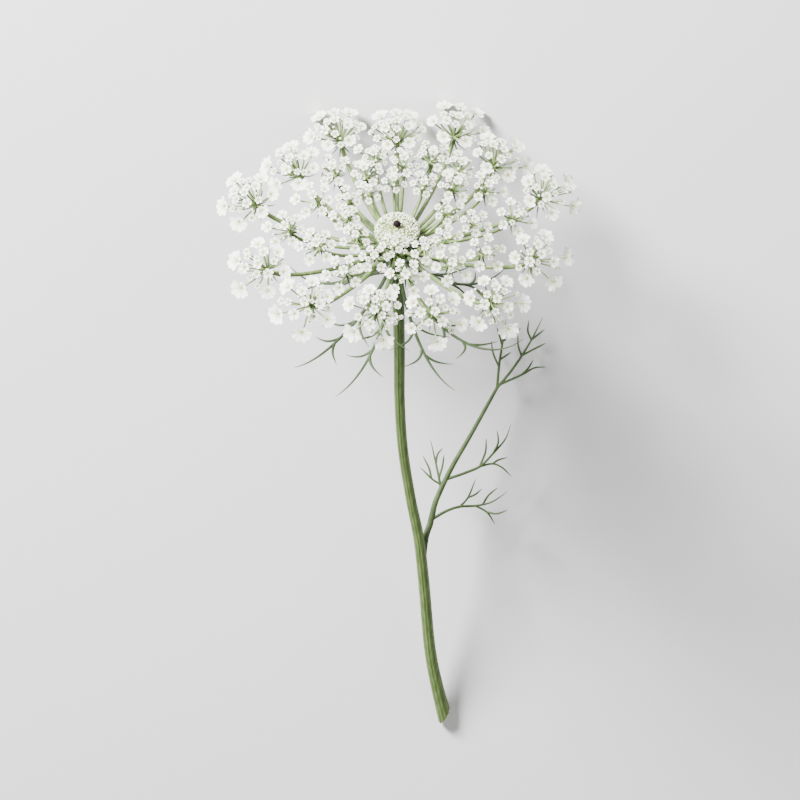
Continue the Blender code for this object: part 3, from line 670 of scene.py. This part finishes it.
def ray_line(site, count):
    """The ray from the receptacle to an umbellet: out and down a little, then up along the head's axis."""
    form = RINGS[site["ring"]]
    azimuth, reach, base = site["azimuth"], site["reach"], site["base"]
    bend = form["bend"] * min(1.0, (reach - 5) / 25 + 0.2)
    before = base - site["axis"] * bend
    start = around(azimuth, RAY_START, form["root"])
    leaving = around(azimuth, RAY_START + 0.3 * (reach - RAY_START), form["root"] - 0.03 * reach)
    return bezier([start, leaving, before, base + site["axis"] * 0.5], count)


def make_stem(places, looks):
    """The ribbed, bristly stem with the receptacle and the rays."""
    rng = random.Random(21)
    shape = Shape()
    line = smooth_line([(side, 0, -down) for side, down in STEM_LINE], 120)
    radii = smooth_line([(radius, 0, 0) for radius in STEM_RADIUS], 120)[:, 0]
    # The rings that the slanted cut doesn't reach stay, and one more ends in it
    whole = (line - CUT_PLACE) @ unit(CUT_FACES) < -1.35 * STEM_RADIUS[-1]
    line = np.vstack([line[whole], CUT_PLACE])
    radii = np.append(radii[whole], STEM_RADIUS[-1])
    add_shaft(shape, line, radii)
    profile = smooth_line([(radius, 0, height) for radius, height in RECEPTACLE], 18)
    core = np.stack([profile[:, 0] * 0, profile[:, 0] * 0, profile[:, 2]], axis=-1)
    shape.put(sweep(core, profile[:, 0] * 0.97, 60, up=(1, 0, 0), ridges=15, ridge=0.05), STEM_SKIN)
    for site in places:
        thick = RINGS[site["ring"]]["ray"]
        count = 22
        route = ray_line(site, count)
        share = np.linspace(0, 1, count)
        # A ray is wider at the receptacle, and swells a little under its head
        widths = thick * (0.88 + 0.35 * (1 - share) ** 4 + 0.2 * share**10)
        shape.put(sweep(route, widths, 15, ridges=5, ridge=0.07), RAY_SKIN)
        add_bristles(shape, route, widths, RAY_BRISTLES, rng, RAY_SKIN)
    add_bristles(shape, line, radii, STEM_BRISTLES, rng, STEM_SKIN)
    shape.build("stem_fine", looks, ["stem"])


def onto_cut(points, ahead):
    """The points moved along the stem onto the slanted plane of its cut end."""
    faces = unit(CUT_FACES)
    beyond = (points - CUT_PLACE) @ faces
    return points - np.outer(beyond / ahead.dot(faces), ahead)


def add_shaft(shape, line, radii):
    """The ribbed main stem, with the pale pith on its slanted cut end inside a thin green rim."""
    sides = 54
    ahead = unit(line[-1] - line[-2])
    points, faces, marks = sweep(line, radii * 0.99, sides, up=(0, 1, 0), ridges=11, ridge=0.06)
    last = np.r_[(len(line) - 1) * sides:len(line) * sides, len(points) - 1]
    points[last] = onto_cut(points[last], ahead)
    shape.add(points, faces, STEM_SKIN, marks)
    rings = np.array([line[-1], line[-1] + ahead * 0.1])
    points, faces, marks = sweep(rings, np.array(PITH_WIDTH) * radii[-1], 32, up=(0, 1, 0))
    height = ((points - line[-1]) @ ahead)[:, None] * 0.6
    shape.add(onto_cut(points, ahead) + height * unit(CUT_FACES), faces, PITH, marks)


def add_bristles(shape, line, radii, bristles, rng, slot):
    """Short stiff hairs that stand out along a stem or ray, most of them leaning back along it."""
    count, length = bristles
    first, second = frames_along(line, (0, 1, 0.2))
    ahead = unit(np.gradient(line, axis=0))
    for _ in range(count):
        i = rng.randrange(2, len(line) - 3)
        turn = rng.uniform(0, 6.28)
        out = first[i] * math.cos(turn) + second[i] * math.sin(turn)
        foot = line[i] + (line[i + 1] - line[i]) * rng.random() + out * radii[i] * 0.92
        tip = foot + (out - ahead[i] * rng.uniform(-0.1, 0.6)) * length * rng.uniform(0.5, 1.0)
        shape.put(sweep(np.array([foot, tip]), np.array(BRISTLE_RADIUS), 3), slot)


def on_cushion(points):
    """Points over the middle of the cushion's rim, turned towards the light with the cushion."""
    return np.asarray(points) @ np.array(CUSHION_TURN).T + np.array([0, 0, CUSHION_LEVEL])


def make_cushion(looks):
    """The dome of tiny buds of many sizes, close together over a rounded base."""
    rng = random.Random(5)
    shape = Shape()
    foot = CUSHION_FOOT - CUSHION_LEVEL
    levels = np.array([foot, foot * 0.6, 0, *(CUSHION_HEIGHT * np.sin(np.linspace(0.15, 1.5, 9)))])
    wide = np.array([0.78, 0.86, 1, *np.cos(np.linspace(0.15, 1.5, 9))]) * (CUSHION_RADIUS - 0.3)
    line = np.stack([levels * 0, levels * 0, levels * 0.97], axis=-1)
    points, faces, marks = sweep(line, wide, 60, up=(1, 0, 0))
    tilted = on_cushion(points)
    share = np.clip(points[:, 2:] / foot, 0, 1)
    points = tilted * (1 - share) + (points + np.array([0, 0, CUSHION_LEVEL])) * share
    shape.add(points, faces, BUD_BASE, marks)
    for k in range(CUSHION_BUDS):
        share = math.sqrt((k + rng.random()) / CUSHION_BUDS)
        angle = k * GOLDEN_ANGLE + rng.uniform(-0.9, 0.9) / (1 + 8 * share)
        polar = share * math.pi / 2
        reach = CUSHION_RADIUS * math.sin(polar)
        if reach < CUSHION_BARE:
            continue
        place = np.array([reach * math.cos(angle), reach * math.sin(angle), CUSHION_HEIGHT * math.cos(polar)])
        normal = unit(place / np.array([CUSHION_RADIUS, CUSHION_RADIUS, CUSHION_HEIGHT]) ** 2 + [0, 0, 1e-4])
        size = rng.uniform(*CUSHION_BUD_RADIUS)
        middle = on_cushion(place + normal * 0.05)
        bead = ball(middle, (size, size * 1.25), np.array(CUSHION_TURN) @ normal, 4, 7)
        shape.put(bead, BUD_PALE if rng.random() < 0.8 else BUD_GREEN)
    shape.build("central_cushion_fine", looks, ["central_cushion"])


def make_dark_floret(looks):
    """The single dark floret: small incurved petals about a bead, nearly black."""
    shape = Shape()
    middle = np.array(DARK_PLACE)
    turn = np.array(CUSHION_TURN)
    shape.put(ball(middle, (DARK_RADIUS * 0.92, DARK_RADIUS * 0.75), turn @ [0, 0, 1], 9, 20), 0)
    for row, (count, lift, reach) in enumerate(DARK_ROWS):
        for k in range(count):
            angle = 2 * math.pi * (k + 0.5 * row) / count
            spoke = np.array([math.cos(angle), math.sin(angle), 0])
            place = middle + turn @ (spoke * reach + [0, 0, lift]) * DARK_RADIUS
            shape.put(ball(place, DARK_PETAL, turn @ (spoke * 0.5 + [0, 0, 1]), 6, 10), 0)
    shape.build("dark_floret_fine", looks, ["dark_floret"])


def bract_route(bract):
    """The four control points of a bract's rachis, which leaves the stem steeply and then spreads."""
    return [around(bract[0][0], *BRACT_ROOT)] + [around(*place) for place in bract]


def lobe_route(route, part, hand, length):
    """The four control points of one lobe: it leaves the rachis to one side, then curves away from it."""
    line = bezier(route, 101)
    at = Vector(line[round(part * 100)])
    ahead = (Vector(line[round(part * 100) + 3]) - at).normalized()
    out = Vector((at.x, at.y, 0)).normalized()
    tangent = Vector((-out.y, out.x, 0))
    leaving = at + (ahead * 0.85 + tangent * hand * 0.5) * length * 0.5
    away = (ahead * 0.5 + tangent * hand * 0.8).normalized()
    return [at, at.lerp(leaving, 0.6), leaving, at + away * length + out * hand * LOBE_BOW]


def tapered(ends, count, point):
    """Radii from the first of ends to the last, then to a point over the last stretch."""
    share = np.linspace(0, 1, count)
    return (ends[0] + (ends[1] - ends[0]) * share) * (1 - 0.8 * share**point)


def make_bract(number, bract, looks):
    """One feathery bract: a flattened rachis that grows out of the stem, and lobes that taper to threads."""
    route = bract_route(bract)
    shape = Shape()
    count = 30
    line = np.vstack([np.array(around(bract[0][0], *BRACT_FOOT)), bezier(route, count)])
    radii = np.concatenate([[BRACT_RADIUS[0] * 1.15], tapered(BRACT_RADIUS, count, 6)])
    shape.put(sweep(line, radii, 12, up=(0, 0, 1), flat=0.8), 0)
    for part, hand, length in LOBES:
        lobe = bezier(lobe_route(route, part, hand, length), 16)
        shape.put(sweep(lobe, tapered(LOBE_RADIUS, 16, 4), 8, up=(0, 0, 1), flat=0.75), 0)
    shape.build(f"bract_{number}_fine", looks, [f"bract_{number}"])


def leaf_point(u, v):
    """A point of the leaf's plane, which leans back from the stem, with its leaflets lifted a little."""
    lean = math.radians(LEAF_LEAN_DEG)
    rachis_u = RACHIS_CURVE[0] * v + RACHIS_CURVE[1] * v * v
    u -= LEAF_SLANT * v
    lift = LEAFLET_LIFT * abs(u - rachis_u) * math.sin(LEAFLET_WAVE[0] * u + LEAFLET_WAVE[1] * v)
    along = Vector((0, math.sin(lean), math.cos(lean)))
    out = Vector((0, -math.cos(lean), math.sin(lean)))
    return Vector((LEAF_BASE[0] + u, 0, LEAF_BASE[1])) + along * v + out * lift


def make_leaf(looks):
    """The divided leaf: a flattened rachis and flat, narrow segments that taper to points."""
    lean = math.radians(LEAF_LEAN_DEG)
    out = (0, -math.cos(lean), math.sin(lean))
    shape = Shape()
    for k, (ends, route) in enumerate(LEAF_BRANCHES):
        main = k == 0
        count = 7 * len(route)
        line = smooth_line([leaf_point(u, v) for u, v in route], count)
        radii = np.linspace(*ends, count) if main else tapered(ends, count, 5)
        if main:
            root = smooth_line([*LEAF_ROOT, line[LEAF_JOIN]], LEAF_ROOT_POINTS + 1)
            line = np.vstack([root[:-1], line[LEAF_JOIN:]])
            swelling = np.linspace(LEAF_ROOT_RADIUS, radii[LEAF_JOIN], LEAF_ROOT_POINTS)
            radii = np.concatenate([swelling, radii[LEAF_JOIN:]])
        shape.put(sweep(line, radii, 14, up=out, flat=0.85 if main else 0.7), 0)
    shape.build("leaf_fine", looks, ["leaf"])


# Materials


def blank(name, roughness, **values):
    """A new material, its shader and its node tree, with its even values set on the shader itself."""
    material = bpy.data.materials.new(name)
    material.use_nodes = True
    shader = material.node_tree.nodes["Principled BSDF"]
    shader.inputs["Roughness"].default_value = roughness
    for key, value in values.items():
        shader.inputs[key.replace("_", " ")].default_value = value
    return material, shader, material.node_tree


def noise(tree, scale, detail=4.0, stretch=None):
    """A noise texture on the piece's own coordinates, drawn out along one way if stretch is given."""
    coords = tree.nodes.new("ShaderNodeTexCoord")
    texture = tree.nodes.new("ShaderNodeTexNoise")
    texture.inputs["Scale"].default_value = scale
    texture.inputs["Detail"].default_value = detail
    source = coords.outputs["Object"]
    if stretch:
        mapping = tree.nodes.new("ShaderNodeMapping")
        mapping.inputs["Scale"].default_value = stretch
        tree.links.new(source, mapping.inputs["Vector"])
        source = mapping.outputs["Vector"]
    tree.links.new(source, texture.inputs["Vector"])
    return texture.outputs["Fac"]


def ramp(tree, source, stops):
    """A colour ramp from (place, colour) stops."""
    node = tree.nodes.new("ShaderNodeValToRGB")
    elements = node.color_ramp.elements
    while len(elements) < len(stops):
        elements.new(0.5)
    for element, (place, colour) in zip(elements, stops):
        element.position = place
        element.color = (*colour, 1)
    tree.links.new(source, node.inputs["Fac"])
    return node.outputs["Color"]


def blend_colours(tree, kind, amount, first, second):
    node = tree.nodes.new("ShaderNodeMix")
    node.data_type = "RGBA"
    node.blend_type = kind
    node.inputs["Factor"].default_value = amount
    tree.links.new(first, node.inputs["A"])
    tree.links.new(second, node.inputs["B"])
    return node.outputs["Result"]


def bump(tree, shader, height, strength, distance):
    node = tree.nodes.new("ShaderNodeBump")
    node.inputs["Strength"].default_value = strength
    node.inputs["Distance"].default_value = distance
    tree.links.new(height, node.inputs["Height"])
    tree.links.new(node.outputs["Normal"], shader.inputs["Normal"])


def mark_of(tree, which):
    """The across (X) or along (Y) mark of each point, from 0 to 1."""
    marks = tree.nodes.new("ShaderNodeUVMap")
    marks.uv_map = "marks"
    split = tree.nodes.new("ShaderNodeSeparateXYZ")
    tree.links.new(marks.outputs["UV"], split.inputs["Vector"])
    return split.outputs[which]


def veins(tree, count):
    """Fine veins that run along a petal, as a wave across it."""
    wave = tree.nodes.new("ShaderNodeMath")
    wave.operation = "SINE"
    scaled = tree.nodes.new("ShaderNodeMath")
    scaled.operation = "MULTIPLY"
    scaled.inputs[1].default_value = count * 2 * math.pi
    tree.links.new(mark_of(tree, "X"), scaled.inputs[0])
    tree.links.new(scaled.outputs[0], wave.inputs[0])
    spread = tree.nodes.new("ShaderNodeMapRange")
    spread.inputs["From Min"].default_value = -1
    tree.links.new(wave.outputs[0], spread.inputs["Value"])
    return spread.outputs["Result"]


def petal_look():
    material, shader, tree = blank("petal", 0.55, Subsurface_Weight=0.12, Subsurface_Scale=0.0006,
                                   Sheen_Weight=0.15)
    shader.inputs["Subsurface Radius"].default_value = (1.0, 1.0, 0.7)
    # Greener and darker at the claw: partly the petal's own green base, partly painted shade between the
    # crowded petals; white towards the tip
    body = ramp(tree, mark_of(tree, "Y"), [(0.0, (0.36, 0.43, 0.16)), (0.22, (0.72, 0.74, 0.56)),
                                           (0.5, (0.93, 0.925, 0.89)), (1.0, (0.95, 0.945, 0.92))])
    lines = ramp(tree, veins(tree, PETAL_VEINS), [(0.0, (0.78, 0.79, 0.7)), (0.4, (1, 1, 1))])
    patches = ramp(tree, noise(tree, 420), [(0.3, (0.88, 0.88, 0.83)), (0.7, (1, 1, 1))])
    colour = blend_colours(tree, "MULTIPLY", 0.8, body, lines)
    colour = blend_colours(tree, "MULTIPLY", 0.7, colour, patches)
    tree.links.new(colour, shader.inputs["Base Color"])
    bump(tree, shader, veins(tree, PETAL_VEINS), 0.35, 0.00006)
    return material


def mottled_look(name, low, high, scale, roughness, depth, gloss):
    """A plant surface whose colour varies from low to high, with fine relief."""
    material, shader, tree = blank(name, roughness, Specular_IOR_Level=gloss)
    source = noise(tree, scale, 6.0)
    tree.links.new(ramp(tree, source, [(0.32, low), (0.68, high)]), shader.inputs["Base Color"])
    bump(tree, shader, noise(tree, scale * 3, 4.0), 0.5, depth)
    return material


def stem_look(name, painted_shade_near_umbel, far, streak):
    """Ribbed green that changes along the stem or ray, darker near the umbel as painted shade from the umbel
    above, with darker streaks.
    """
    material, shader, tree = blank(name, 0.5, Specular_IOR_Level=0.35)
    # Painted shade: the first stretch from the umbel takes the darker colour, as if shaded by the umbel above
    body = ramp(tree, mark_of(tree, "Y"), [(0.0, painted_shade_near_umbel), (0.35, far), (1.0, far)])
    patches = ramp(tree, noise(tree, 260, 5.0), [(0.3, (0.84, 0.86, 0.8)), (0.7, (1.03, 1.03, 1.0))])
    ribs = ramp(tree, noise(tree, 900, 3.0, (1, 0.12, 1)), [(0.35, streak), (0.6, (1, 1, 1))])
    colour = blend_colours(tree, "MULTIPLY", 0.8, body, patches)
    colour = blend_colours(tree, "MULTIPLY", 0.7, colour, ribs)
    tree.links.new(colour, shader.inputs["Base Color"])
    bump(tree, shader, noise(tree, 1500, 4.0, (1, 0.15, 1)), 0.6, 0.00012)
    return material


def floor_look():
    material, shader, tree = blank("floor", 0.75)
    tree.links.new(ramp(tree, noise(tree, 3, 3.0), FLOOR_COLOURS), shader.inputs["Base Color"])
    return material


# Stage


def make_floor():
    bpy.ops.mesh.primitive_plane_add(size=FLOOR_SIDE)
    floor = bpy.context.object
    floor.name = "floor"
    floor.data.materials.append(floor_look())


def make_light(name, place, size, power, target):
    light = bpy.data.lights.new(name, "AREA")
    light.shape = "DISK"
    light.size = size
    light.energy = power
    lamp = bpy.data.objects.new(name, light)
    bpy.context.scene.collection.objects.link(lamp)
    lamp.location = place
    lamp.rotation_euler = (Vector(target) - Vector(place)).to_track_quat("-Z", "Y").to_euler()


def make_world():
    world = bpy.data.worlds.new("studio")
    world.use_nodes = True
    background = world.node_tree.nodes["Background"]
    background.inputs["Color"].default_value = (1.0, 1.0, 1.0, 1)
    background.inputs["Strength"].default_value = WORLD_STRENGTH
    bpy.context.scene.world = world


def make_camera():
    """The camera looks down on the umbel, placed so that its middle is where it is in the photograph."""
    rise = math.radians(VIEW_ELEVATION_DEG)
    right = POSE @ Vector((1, 0, 0))
    towards = POSE @ Vector((0, -math.cos(rise), math.sin(rise)))
    up = POSE @ Vector((0, math.sin(rise), math.cos(rise)))
    aside = (IMAGE_SIDE / 2 - HUB_PIXEL[0]) * MM_PER_PIXEL
    down = (IMAGE_SIDE / 2 - HUB_PIXEL[1]) * MM_PER_PIXEL
    centre = HUB + (right * aside - up * down) * MM
    data = bpy.data.cameras.new("camera")
    data.sensor_width = SENSOR
    data.lens = SENSOR * CAMERA_DISTANCE / (IMAGE_SIDE * MM_PER_PIXEL)
    data.clip_start = 0.01
    data.clip_end = 20
    camera = bpy.data.objects.new("camera", data)
    bpy.context.scene.collection.objects.link(camera)
    turn = Matrix((right, up, towards)).transposed().to_4x4()
    camera.matrix_world = Matrix.Translation(centre + towards * CAMERA_DISTANCE * MM) @ turn
    bpy.context.scene.camera = camera
    return centre, right, up, towards


def main():
    centre, right, up, towards = make_camera()
    make_world()
    make_floor()
    for name, ((aside, above, ahead), size, power) in LIGHTS.items():
        make_light(name, centre + (up * above + right * aside + towards * ahead), size, power, centre)

    green_stem, green_ray = (stem_look(name, *tones) for name, tones in RIBBED_GREENS.items())
    look = {name: mottled_look(name, *values) for name, values in SURFACES.items()}
    floret_looks = [petal_look(), look["floret_centre"], look["anther"], look["pedicel_green"],
                    look["bract_green"]]

    rng = random.Random(SEED)
    places = sites()
    make_stem(places, [green_stem, green_ray, look["pith"]])
    make_cushion([look["bud_green"], look["bud_pale"], look["bud_green"]])
    make_dark_floret([look["dark_petal"]])
    make_leaf([look["leaf_green"]])
    for number, form in enumerate(BRACTS, 1):
        make_bract(number, form, [look["bract_green"]])
    for number, site in enumerate(places, 1):
        make_umbellet(number, site, places, rng, floret_looks)


main()
